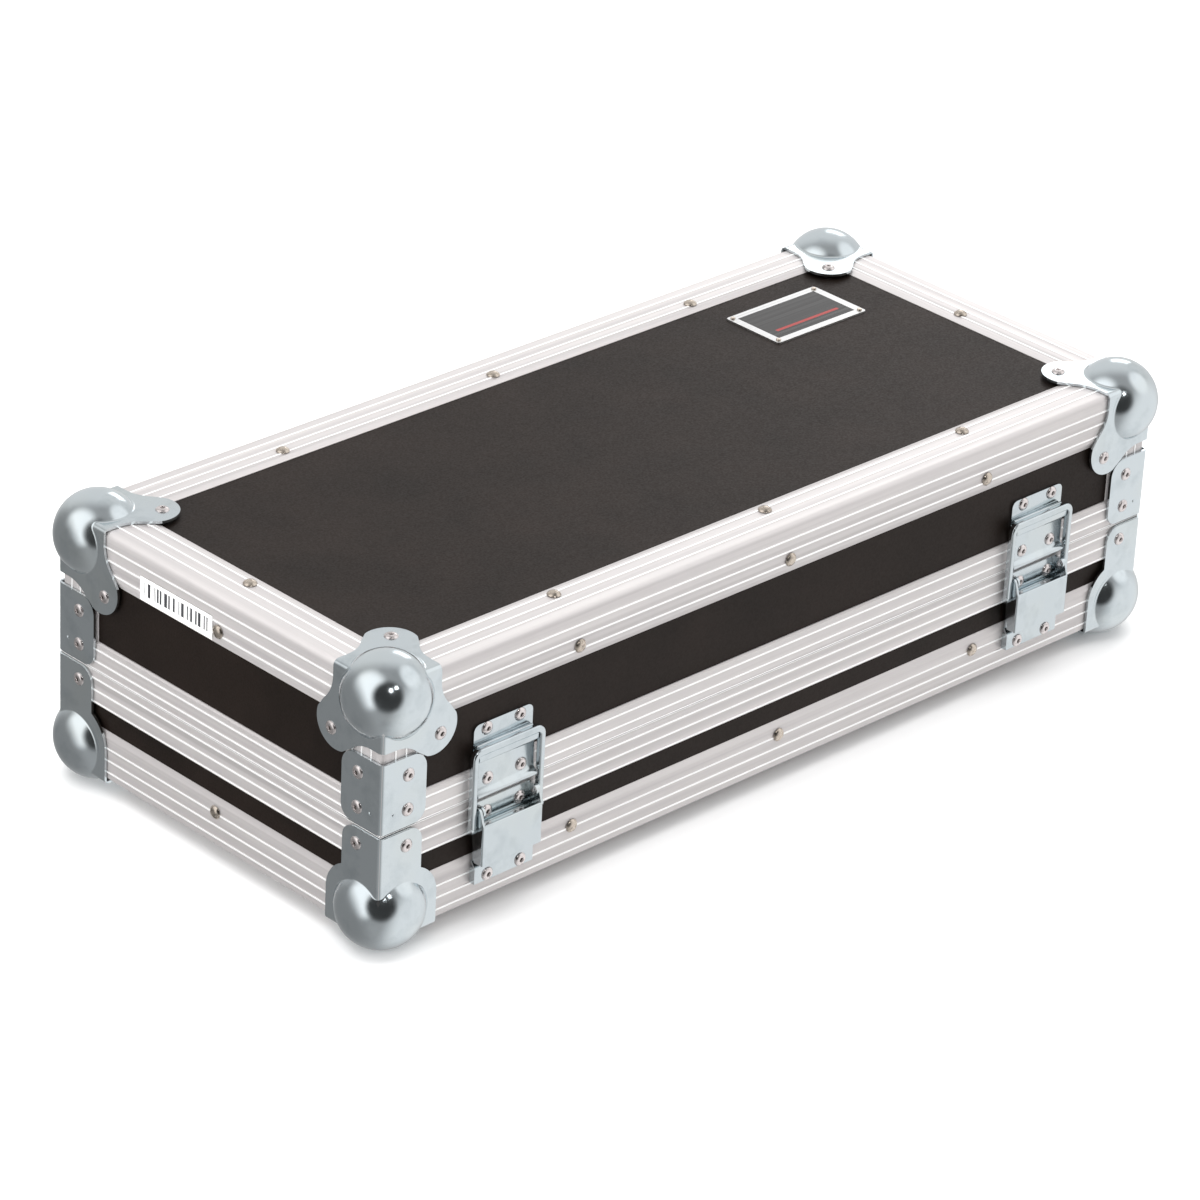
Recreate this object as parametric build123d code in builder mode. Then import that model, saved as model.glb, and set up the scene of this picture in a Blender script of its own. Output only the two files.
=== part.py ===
from build123d import *
import os
from math import sqrt

os.makedirs("parts", exist_ok=True)

# Case over the flat faces of its edge extrusions
case_length = 600.0
case_width = 265.0
base_height = 66.0
lid_height = 88.5
seam_gap = 0.4

# Edge extrusions: angle with ribs along each leg, laid over the panels
wall = 2.0
lid_leg = 30.5
base_leg = 31.0
lid_first_rib = 9.2
base_first_rib = 6.2
rib_pitch = 7.4
rib_count = 3
rib_top = 0.8
rib_slope = 0.5
rib_height = 0.4
leg_bevel = 3.6
bevel_end = 0.3
arris_round = 3.0

# Plywood panels, set back behind the extrusions
panel = 7.0

# Closing profiles: the tongue stands on the base, the groove is in the lid
base_rail = 22.1
lid_rail = 17.5
rail_inner_wall = 1.5
rail_web = 2.0
base_web_drop = 6.0
rail_end_bevel = 1.0
base_rail_ribs = (5.6, 12.8, 20.2)
lid_rail_ribs = (5.5, 12.9)
tongue_height = 4.0
tongue_width = 2.4
tongue_side_gap = 0.3
tongue_top_gap = 0.5
groove_wall = 1.5
inner_rim_gap = 0.3

# Ball corners: pressed shells that cap the eight corners
ball_radius = 25.0
ball_inset = 14.3
plate = 1.5
plate_arris_round = 3.5
ball_blend = 2.0
foot_flat = 0.4
lobe_reach = 49.6
lobe_start = 30.0
lobe_tip = 45.9
saddle_reach = 38.5
saddle_flat = 8.0
saddle_end = (45.0, 23.4)
lobe_rivet = 39.0
foot_leg = 40.0
foot_leg_top = 21.0
foot_corner_round = 14.0
foot_rivet = 32.0
corner_leg = 28.2
corner_leg_top_gap = 1.1
corner_leg_round = 9.0
shoulder_height = 38.4
shoulder_middle = (36.4, 31.2)

# Corner braces on the lid
brace_leg = 30.0
brace_low = 1.4
brace_high = 43.2
brace_top_round = 10.0
brace_low_round = 8.0
corner_rivet_inset = 17.3
base_corner_rivet_drop = 10.4
brace_rivet_rise = (11.5, 32.3)

# Rivets
shank_radius = 2.0
shank_gap = 0.05
head_radius = 4.0
solid_head = 2.1
blind_head = 1.6
head_rim = 0.4
mandrel_radius = 1.2
mandrel_depth = 1.0
edge_rivet_inset = 22.0
edge_rivet_end_inset = 140.0

# Draw latches on the front: insets from the ends, heights from the seam, depths from the front face
latch_left_inset = 86.5
latch_right_inset = 93.0
latch_plate = 1.2
latch_rivet_spread = 12.0
latch_base_width = 40.0
latch_base_top = -3.0
latch_pad_width = 42.5
latch_pad_low = -51.5
latch_pad_high = -41.5
latch_pad_ramp = 3.5
latch_pad_rise = 3.8
latch_rivets_upper = -10.4
latch_rivets_lower = -47.8
ear_thickness = 1.5
ear_radius = 3.3
pivot_out = 4.5
pivot_up = -7.0
pivot_radius = 1.5
running_gap = 0.05
arm_gap = 0.3
arm_thickness = 1.5
arm_eye = 2.9
lever_front = 9.8
lever_sheet = 1.5
lever_low = -37.7
lever_top = -14.0
lever_top_inner = 6.0
lever_flange_back = 3.5
lever_round = 1.2
bar_out = 3.4
bar_up = -17.0
bar_radius = 2.0
bar_eye_wall = 1.0
loop_gap = 0.45
loop_limb = 3.7
loop_depth = 4.4
loop_corner = 6.0
loop_window_corner = 2.0
loop_edge_round = 1.4
loop_rest_gap = 0.3
strike_width = 42.5
strike_low = 0.8
strike_lip = 4.5
strike_lip_top = 5.0
ridge_low = 21.0
ridge_front_low = 23.4
ridge_shelf = 27.0
ridge_out = 4.4
flange_top = 43.0
flange_round_left = 2.0
flange_round_right = 5.0
strike_rivets_lower = 9.8
strike_rivets_upper = 39.2

# Hinges on the back
hinge_inset = 110.0
hinge_width = 50.0
hinge_leaf = 34.0
hinge_plate = 1.5
knuckle_radius = 4.0
knuckle_out = 4.5
knuckle_count = 5
knuckle_gap = 0.3
knuckle_relief = 0.6
hinge_edge_gap = 0.4
hinge_pin_radius = 1.5
hinge_pin_head = 2.6
hinge_pin_head_length = 1.2
hinge_rivet_spread = 15.0
base_hinge_rivets = (-10.4, -28.5)
lid_hinge_rivets = (9.8, 26.5)

# Foam lining
foam_gap = 0.3
floor_foam = 12.0
wall_foam = 12.0
foam_below_seam = 1.0

# Name plate on the top and label on the left side
name_plate_size = (75.0, 44.0)
name_plate_right_inset = 99.0
name_plate_back_inset = 70.75
name_plate_thickness = 1.0
name_plate_round = 2.0
name_rivet_inset = 3.0
name_rivet_radius = 1.5
name_rivet_head = 0.9
label_size = (60.0, 14.0)
label_back_inset = 98.0
label_below_top = 21.5
label_thickness = 0.2

half_length = case_length / 2
half_width = case_width / 2
depth = wall + panel
ball_reach = ball_radius - ball_inset
base_bottom = ball_reach - foot_flat
seam = base_bottom + base_height
lid_top = seam + lid_height
rail_thickness = depth + rail_inner_wall
hole_radius = shank_radius + shank_gap
edge_rivet_spread = half_length - edge_rivet_end_inset
latch_left = latch_left_inset - half_length
latch_right = half_length - latch_right_inset
hinge_spread = half_length - hinge_inset
same_place = 0.001

faces = {
    "front": Plane(origin=(0, -half_width, 0), x_dir=(1, 0, 0), z_dir=(0, -1, 0)),
    "back": Plane(origin=(0, half_width, 0), x_dir=(-1, 0, 0), z_dir=(0, 1, 0)),
    "left": Plane(origin=(-half_length, 0, 0), x_dir=(0, -1, 0), z_dir=(-1, 0, 0)),
    "right": Plane(origin=(half_length, 0, 0), x_dir=(0, 1, 0), z_dir=(1, 0, 0)),
    "top": Plane(origin=(0, 0, lid_top), x_dir=(1, 0, 0), z_dir=(0, 0, 1)),
    "bottom": Plane(origin=(0, 0, base_bottom), x_dir=(1, 0, 0), z_dir=(0, 0, -1)),
}
sides = {"front": half_length, "back": half_length, "left": half_width, "right": half_width}


def spot(face, across, up, seat=0.0):
    """Place on a face of the case, seat above it, with Z pointing outward."""
    plane = faces[face]
    origin = plane.from_local_coords((across, up, seat))
    return Plane(origin=origin, x_dir=plane.x_dir, z_dir=plane.z_dir).location


def save(part, name):
    part.label = name
    export_step(part, f"parts/{name}.step")


# Rivet places: (face, across, up, seat), kept apart for the base and the lid
edge_across = (-edge_rivet_spread, 0.0, edge_rivet_spread)
base_edge_rivets = []
lid_edge_rivets = []
for side in ("front", "back"):
    for across in edge_across:
        base_edge_rivets.append((side, across, base_bottom + edge_rivet_inset, 0.0))
        lid_edge_rivets.append((side, across, lid_top - edge_rivet_inset, 0.0))
for side in ("left", "right"):
    base_edge_rivets.append((side, 0.0, base_bottom + edge_rivet_inset, 0.0))
    lid_edge_rivets.append((side, 0.0, lid_top - edge_rivet_inset, 0.0))
for sign in (-1, 1):
    for across in edge_across:
        up = sign * (half_width - edge_rivet_inset)
        base_edge_rivets.append(("bottom", across, up, 0.0))
        lid_edge_rivets.append(("top", across, up, 0.0))
    across = sign * (half_length - edge_rivet_inset)
    base_edge_rivets.append(("bottom", across, 0.0, 0.0))
    lid_edge_rivets.append(("top", across, 0.0, 0.0))

base_blind_rivets = []
lid_blind_rivets = []
for side, run in sides.items():
    for sign in (-1, 1):
        near = sign * (run - corner_rivet_inset)
        base_blind_rivets.append((side, near, seam - base_corner_rivet_drop, plate))
        for rise in brace_rivet_rise:
            lid_blind_rivets.append((side, near, seam + rise, plate))
        lid_blind_rivets.append((side, sign * (run - lobe_rivet), lid_top - lobe_rivet, plate))
for sx in (-1, 1):
    for sy in (-1, 1):
        lid_blind_rivets.append(("top", sx * (half_length - lobe_rivet),
                                 sy * (half_width - lobe_rivet), plate))
        base_blind_rivets.append(("bottom", sx * (half_length - foot_rivet),
                                  sy * (half_width - foot_rivet), plate))
for centre in (latch_left, latch_right):
    for sign in (-1, 1):
        across = centre + sign * latch_rivet_spread
        base_blind_rivets.append(("front", across, seam + latch_rivets_upper, latch_plate))
        base_blind_rivets.append(("front", across, seam + latch_rivets_lower, latch_pad_rise))
        lid_blind_rivets.append(("front", across, seam + strike_rivets_lower, latch_plate))
        lid_blind_rivets.append(("front", across, seam + strike_rivets_upper, latch_plate - wall))
for centre in (-hinge_spread, hinge_spread):
    for sign in (-1, 1):
        across = centre + sign * hinge_rivet_spread
        for rise in base_hinge_rivets:
            base_blind_rivets.append(("back", across, seam + rise, hinge_plate))
        for rise in lid_hinge_rivets:
            lid_blind_rivets.append(("back", across, seam + rise, hinge_plate))

base_rivets = base_edge_rivets + base_blind_rivets
lid_rivets = lid_edge_rivets + lid_blind_rivets


def drill(rivets, *on_faces):
    """Cut the shank holes of the rivets on these faces."""
    for face, across, up, seat in rivets:
        if face in on_faces:
            with Locations(spot(face, across, up, seat)):
                Hole(radius=hole_radius, depth=seat + depth + 1)


def ribbed_leg(length, ribs, bevel):
    """Outer outline of a leg, as (along, depth) points from the arris to the bevelled end."""
    points = []
    for rib in ribs:
        points += [(rib - rib_top / 2 - rib_slope, rib_height), (rib - rib_top / 2, 0),
                   (rib + rib_top / 2, 0), (rib + rib_top / 2 + rib_slope, rib_height)]
    return points + [(length - bevel, rib_height), (length, wall - bevel_end), (length, wall)]


def angle_outline(length, first_rib):
    """Closed outline of the edge angle with its arris near (0, 0)."""
    ribs = [first_rib + rib_pitch * i for i in range(rib_count)]
    leg = ribbed_leg(length, ribs, leg_bevel)
    other = [(across, along) for along, across in reversed(leg)]
    return [(rib_height, rib_height)] + leg + [(wall, wall)] + other


def make_edge(name, middle, inward_a, inward_b, run, length, first_rib, rivets, on_faces, mitres):
    """Edge angle along one arris, mitred at both ends where it meets the next two."""
    along = Vector(*inward_a).cross(Vector(*inward_b))
    section = Plane(origin=middle, x_dir=inward_a, z_dir=along)
    with BuildPart() as edge:
        with BuildSketch(section) as outline:
            with BuildLine():
                Polyline(*angle_outline(length, first_rib), close=True)
            make_face()
            fillet(outline.vertices().sort_by_distance((0, 0))[0], arris_round)
        extrude(amount=run, both=True)
        for end in (-1, 1):
            corner = Vector(*middle) + along * (end * run)
            for inward in mitres:
                keep_side = along * -end - Vector(*inward)
                split(bisect_by=Plane(origin=corner, z_dir=keep_side), keep=Keep.TOP)
        drill(rivets, *on_faces)
    save(edge.part, name)


def rail_section(side):
    """Plane across the run of a side at the seam: X inward, Y up."""
    inward = faces[side].z_dir * -1
    origin = Vector(0, 0, seam) + faces[side].z_dir * (case_width if side in ("front", "back")
                                                      else case_length) * 0.5
    return Plane(origin=origin, x_dir=inward, z_dir=inward.cross(Vector(0, 0, 1)))


def rail_face(ribs, height, sign):
    """Outer outline of a closing profile's wall, as (depth, up) from its far end to the seam."""
    start = seam_gap / 2
    points = [(rib_height + rail_end_bevel, sign * height), (rib_height, sign * (height - rail_end_bevel))]
    for rib in sorted(ribs, reverse=True):
        points += [(rib_height, sign * (rib + rib_top / 2 + rib_slope)), (0, sign * (rib + rib_top / 2)),
                   (0, sign * (rib - rib_top / 2)), (rib_height, sign * (rib - rib_top / 2 - rib_slope))]
    return points + [(rib_height, sign * (start + rib_top)), (0, sign * (start + rib_top / 2)),
                     (0, sign * start)]


def make_rail(name, side, outline, rivets):
    """Closing profile along one side, mitred at 45 degrees into its neighbours."""
    section = rail_section(side)
    run = sides[side]
    with BuildPart() as rail:
        with BuildSketch(section):
            with BuildLine():
                Polyline(*outline, close=True)
            make_face()
        extrude(amount=run, both=True)
        for end in (-1, 1):
            corner = section.origin + section.z_dir * (end * run)
            split(bisect_by=Plane(origin=corner, z_dir=section.z_dir * -end - section.x_dir),
                  keep=Keep.TOP)
        drill(rivets, side)
    save(rail.part, name)


groove_outer = wall
groove_inner = groove_outer + tongue_width + 2 * tongue_side_gap
tongue_outer = groove_outer + tongue_side_gap
tongue_inner = tongue_outer + tongue_width
groove_height = tongue_height + tongue_top_gap
# The lid turns about the hinge axis, so the tongue leans away from the groove's inner wall
swing = knuckle_out + groove_inner
tongue_tip = sqrt(swing ** 2 - tongue_height ** 2) - knuckle_out - tongue_side_gap
lid_web_top = groove_height + rail_web

base_outline = rail_face(base_rail_ribs, base_rail, -1) + [
    (wall, -seam_gap / 2), (wall, -base_web_drop), (tongue_outer, -base_web_drop),
    (tongue_outer, tongue_height), (tongue_tip, tongue_height), (tongue_inner, 0),
    (tongue_inner, -base_web_drop), (depth, -base_web_drop), (depth, -inner_rim_gap),
    (rail_thickness, -inner_rim_gap), (rail_thickness, -base_rail), (depth, -base_rail),
    (depth, -base_web_drop - rail_web), (wall, -base_web_drop - rail_web), (wall, -base_rail)]
lid_outline = rail_face(lid_rail_ribs, lid_rail, 1) + [
    (groove_outer, seam_gap / 2), (groove_outer, groove_height), (groove_inner, groove_height),
    (groove_inner, seam_gap / 2), (groove_inner + groove_wall, seam_gap / 2),
    (groove_inner + groove_wall, groove_height), (depth, groove_height), (depth, seam_gap / 2),
    (rail_thickness, seam_gap / 2), (rail_thickness, lid_rail), (depth, lid_rail),
    (depth, lid_web_top), (wall, lid_web_top), (wall, lid_rail)]

for side in sides:
    make_rail(f"base_closing_profile_{side}", side, base_outline, base_rivets)
    make_rail(f"lid_closing_profile_{side}", side, lid_outline, lid_rivets)


def make_panel(name, low, high, rivets, *on_faces):
    """Flat plywood panel between two corners."""
    size = [b - a for a, b in zip(low, high)]
    middle = [(a + b) / 2 for a, b in zip(low, high)]
    with BuildPart() as board:
        with Locations(tuple(middle)):
            Box(*size)
        drill(rivets, *on_faces)
    save(board.part, name)


panel_x = half_length - wall
panel_y = half_width - wall
base_panel_top = seam - base_web_drop - rail_web
lid_panel_low = seam + lid_web_top
base_floor = base_bottom + depth
lid_ceiling = lid_top - depth
make_panel("base_bottom_panel", (-panel_x, -panel_y, base_bottom + wall),
           (panel_x, panel_y, base_floor), base_rivets, "bottom")
make_panel("lid_top_panel", (-panel_x, -panel_y, lid_ceiling),
           (panel_x, panel_y, lid_top - wall), lid_rivets, "top")
for prefix, low, high, rivets in (("base", base_floor, base_panel_top, base_rivets),
                                  ("lid", lid_panel_low, lid_ceiling, lid_rivets)):
    inner_y = panel_y - panel
    inner_x = panel_x - panel
    make_panel(f"{prefix}_front_panel", (-panel_x, -panel_y, low), (panel_x, -inner_y, high),
               rivets, "front")
    make_panel(f"{prefix}_back_panel", (-panel_x, inner_y, low), (panel_x, panel_y, high),
               rivets, "back")
    make_panel(f"{prefix}_left_panel", (-panel_x, -inner_y, low), (-inner_x, inner_y, high),
               rivets, "left")
    make_panel(f"{prefix}_right_panel", (inner_x, -inner_y, low), (panel_x, inner_y, high),
               rivets, "right")

up, down = (0, 0, 1), (0, 0, -1)
inwards = {"front": (0, 1, 0), "back": (0, -1, 0), "left": (1, 0, 0), "right": (-1, 0, 0)}
for side, run in sides.items():
    outward = faces[side].z_dir
    reach = half_width if side in ("front", "back") else half_length
    for prefix, level, rise, length, first, rivets, cap in (
            ("base", base_bottom, up, base_leg, base_first_rib, base_rivets, "bottom"),
            ("lid", lid_top, down, lid_leg, lid_first_rib, lid_rivets, "top")):
        middle = (outward.X * reach, outward.Y * reach, level)
        mitres = (inwards[side], rise) if prefix == "lid" else (inwards[side],)
        make_edge(f"{prefix}_edge_{side}", middle, inwards[side], rise, run, length, first,
                  rivets, (side, cap), mitres)

# Upright angles of the lid: square on the closing profile, mitred under the ball corners
upright_low = seam + lid_rail
with BuildPart() as lid_upright_angles:
    with BuildSketch(Plane(origin=(-half_length, -half_width, upright_low))) as outline:
        with BuildLine():
            Polyline(*angle_outline(lid_leg, lid_first_rib), close=True)
        make_face()
        fillet(outline.vertices().sort_by_distance((0, 0))[0], arris_round)
    extrude(amount=lid_top - upright_low)
    for keep_side in ((-1, 0, -1), (0, -1, -1)):
        split(bisect_by=Plane(origin=(-half_length, -half_width, lid_top), z_dir=keep_side),
              keep=Keep.TOP)
    drill(lid_rivets, "front", "left")
    mirror(about=Plane.YZ)
    mirror(about=Plane.XZ)
save(lid_upright_angles.part, "lid_upright_angles")


def save_four(part, name):
    """Save a front left corner piece and its three mirror images."""
    save(part, f"{name}_front_left")
    right = mirror(part, about=Plane.YZ)
    save(right, f"{name}_front_right")
    save(mirror(part, about=Plane.XZ), f"{name}_back_left")
    save(mirror(right, about=Plane.XZ), f"{name}_back_right")


def on_ball(edge, centre):
    """True for an edge that lies on the outside of the ball."""
    return all(abs((edge @ t - centre).length - ball_radius) < same_place for t in (0, 0.5))


def on_arris(edge, outer):
    """True for a straight edge along one of the three outer arrises of a corner."""
    middle = edge.center()
    gaps = sorted((abs(middle.X - outer.X), abs(middle.Y - outer.Y), abs(middle.Z - outer.Z)))
    return gaps[1] < same_place


def ball_over(shell, corner, inward_up):
    """Round the arrises of the plates, blend the ball into them and hollow it."""
    outer = Vector(*corner) - Vector(plate, plate, inward_up * plate)
    fillet([edge for edge in shell.edges().filter_by(GeomType.LINE) if on_arris(edge, outer)],
           plate_arris_round)
    centre = Vector(*corner) + Vector(ball_inset, ball_inset, inward_up * ball_inset)
    with Locations(centre):
        Sphere(ball_radius)
    fillet([edge for edge in shell.edges() if on_ball(edge, centre)], ball_blend)
    with Locations(corner):
        Box(case_width / 2, case_width / 2, case_width / 2, mode=Mode.SUBTRACT,
            align=(Align.MIN, Align.MIN, Align.MIN if inward_up > 0 else Align.MAX))
    with Locations(centre):
        Sphere(ball_radius - plate, mode=Mode.SUBTRACT)


# Lid ball corner at the front left: a lobe on each face and the ball over all three
lid_corner_at = (-half_length, -half_width, lid_top)
lobe_planes = (
    Plane(origin=lid_corner_at, x_dir=(1, 0, 0), z_dir=(0, 0, 1)),
    Plane(origin=lid_corner_at, x_dir=(0, 0, -1), z_dir=(0, -1, 0)),
    Plane(origin=lid_corner_at, x_dir=(0, 1, 0), z_dir=(-1, 0, 0)),
)
with BuildPart() as lid_ball_corner:
    for lobe_plane in lobe_planes:
        with BuildSketch(lobe_plane):
            with BuildLine():
                saddle = Polyline((-plate, -plate), (saddle_reach, -plate), (saddle_reach, saddle_flat))
                hollow = TangentArc(saddle @ 1, saddle_end, tangent=(0, 1))
                side = Line(hollow @ 1, (lobe_reach, lobe_start))
                tip = ThreePointArc(side @ 1, (lobe_tip, lobe_tip), (lobe_start, lobe_reach))
                other_side = Line(tip @ 1, (saddle_end[1], saddle_end[0]))
                other_saddle = Polyline((saddle_flat, saddle_reach), (-plate, saddle_reach),
                                        (-plate, -plate))
                TangentArc(other_saddle @ 0, other_side @ 1, tangent=(1, 0))
            make_face()
        extrude(amount=plate)
    ball_over(lid_ball_corner, lid_corner_at, -1)
    drill(lid_rivets, "front", "left", "top")
save_four(lid_ball_corner.part, "lid_ball_corner")

# Base ball corner with its upright angle in one piece
base_corner_at = (-half_length, -half_width, base_bottom)
corner_top = base_height - corner_leg_top_gap
with BuildPart() as base_ball_corner:
    for upright_plane, mirrored in (
            (Plane(origin=base_corner_at, x_dir=(1, 0, 0), z_dir=(0, -1, 0)), False),
            (Plane(origin=base_corner_at, x_dir=(0, -1, 0), z_dir=(-1, 0, 0)), True)):
        with BuildSketch(upright_plane) as outline:
            with BuildLine():
                edge_up = Polyline((-plate, -plate), (-plate, corner_top), (corner_leg, corner_top),
                                   (corner_leg, shoulder_height))
                shoulder = ThreePointArc(edge_up @ 1, shoulder_middle, (foot_leg, foot_leg_top))
                Polyline(shoulder @ 1, (foot_leg, -plate), (-plate, -plate))
            make_face()
            fillet(outline.vertices().sort_by_distance((corner_leg, corner_top))[0], corner_leg_round)
            if mirrored:
                mirror(about=Plane.YZ, mode=Mode.REPLACE)
        extrude(amount=plate)
    with BuildSketch(Plane(origin=base_corner_at, x_dir=(0, 1, 0), z_dir=(0, 0, -1))) as outline:
        with Locations((-plate, -plate)):
            Rectangle(foot_leg + plate, foot_leg + plate, align=(Align.MIN, Align.MIN))
        fillet(outline.vertices().sort_by_distance((foot_leg, foot_leg))[0], foot_corner_round)
    extrude(amount=plate)
    ball_over(base_ball_corner, base_corner_at, 1)
    drill(base_rivets, "front", "left", "bottom")
    split(bisect_by=Plane.XY, keep=Keep.TOP)
save_four(base_ball_corner.part, "base_ball_corner")

# Lid corner braces: bent plates over the uprights
with BuildPart() as lid_corner_braces:
    for brace_plane, sign in (
            (Plane(origin=(-half_length, -half_width, seam), x_dir=(1, 0, 0), z_dir=(0, -1, 0)), 1),
            (Plane(origin=(-half_length, -half_width, seam), x_dir=(0, -1, 0), z_dir=(-1, 0, 0)), -1)):
        with BuildSketch(brace_plane) as outline:
            with BuildLine():
                Polyline((-sign * plate, brace_low), (sign * brace_leg, brace_low),
                         (sign * brace_leg, brace_high), (-sign * plate, brace_high), close=True)
            make_face()
            fillet(outline.vertices().sort_by_distance((sign * brace_leg, brace_low))[0],
                   brace_low_round)
            fillet(outline.vertices().sort_by_distance((sign * brace_leg, brace_high))[0],
                   brace_top_round)
        extrude(amount=plate)
    arris = lid_corner_braces.edges().filter_by(Axis.Z).sort_by_distance(
        (-half_length - plate, -half_width - plate, seam + brace_high / 2))[0]
    fillet(arris, plate_arris_round)
    drill(lid_rivets, "front", "left")
    mirror(about=Plane.YZ)
    mirror(about=Plane.XZ)
save(lid_corner_braces.part, "lid_corner_braces")


def rivet_solid(seat, head, blind):
    """Rivet with its head on local Z zero and a shank through the plate and panel."""
    with BuildPart() as rivet:
        with BuildSketch(Plane.XZ):
            with BuildLine():
                Polyline((0, head), (0, -seat - depth), (shank_radius, -seat - depth),
                         (shank_radius, 0), (head_radius, 0), (head_radius, head_rim))
                TangentArc((0, head), (head_radius, head_rim), tangent=(1, 0))
            make_face()
        revolve(axis=Axis.Z)
        if blind:
            with Locations((0, 0, head)):
                Hole(radius=mandrel_radius, depth=mandrel_depth)
    return rivet.part


def make_rivets(name, rivets, head, blind):
    """All rivets of one kind on a body, as separate solids in one group."""
    with BuildPart() as group:
        for seat in sorted({rivet[3] for rivet in rivets}):
            rivet = rivet_solid(seat, head, blind)
            places = [spot(*place) for place in rivets if place[3] == seat]
            with Locations(*places):
                add(rivet)
    save(group.part, name)


make_rivets("base_edge_rivets", base_edge_rivets, solid_head, False)
make_rivets("lid_edge_rivets", lid_edge_rivets, solid_head, False)
make_rivets("base_blind_rivets", base_blind_rivets, blind_head, True)
make_rivets("lid_blind_rivets", lid_blind_rivets, blind_head, True)


def latch_plane(centre, across=0.0):
    """Section through a latch at the seam: X outward from the front, Y up."""
    return Plane(origin=(centre + across, -half_width, seam), x_dir=(0, -1, 0), z_dir=(-1, 0, 0))


def bend(points, width, centre, across=0.0):
    """Bent sheet of constant section, centred on the latch."""
    with BuildSketch(latch_plane(centre, across)) as section:
        with BuildLine():
            Polyline(*points, close=True)
        make_face()
    extrude(section.sketch, amount=width / 2, both=True)


arm_inner = latch_base_width / 2 + arm_gap
arm_outer = arm_inner + arm_thickness
loop_inner = arm_outer + loop_gap
loop_outer = loop_inner + loop_limb
bar_back = bar_out - loop_depth / 2
bar_bottom = ridge_shelf + loop_rest_gap


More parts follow.
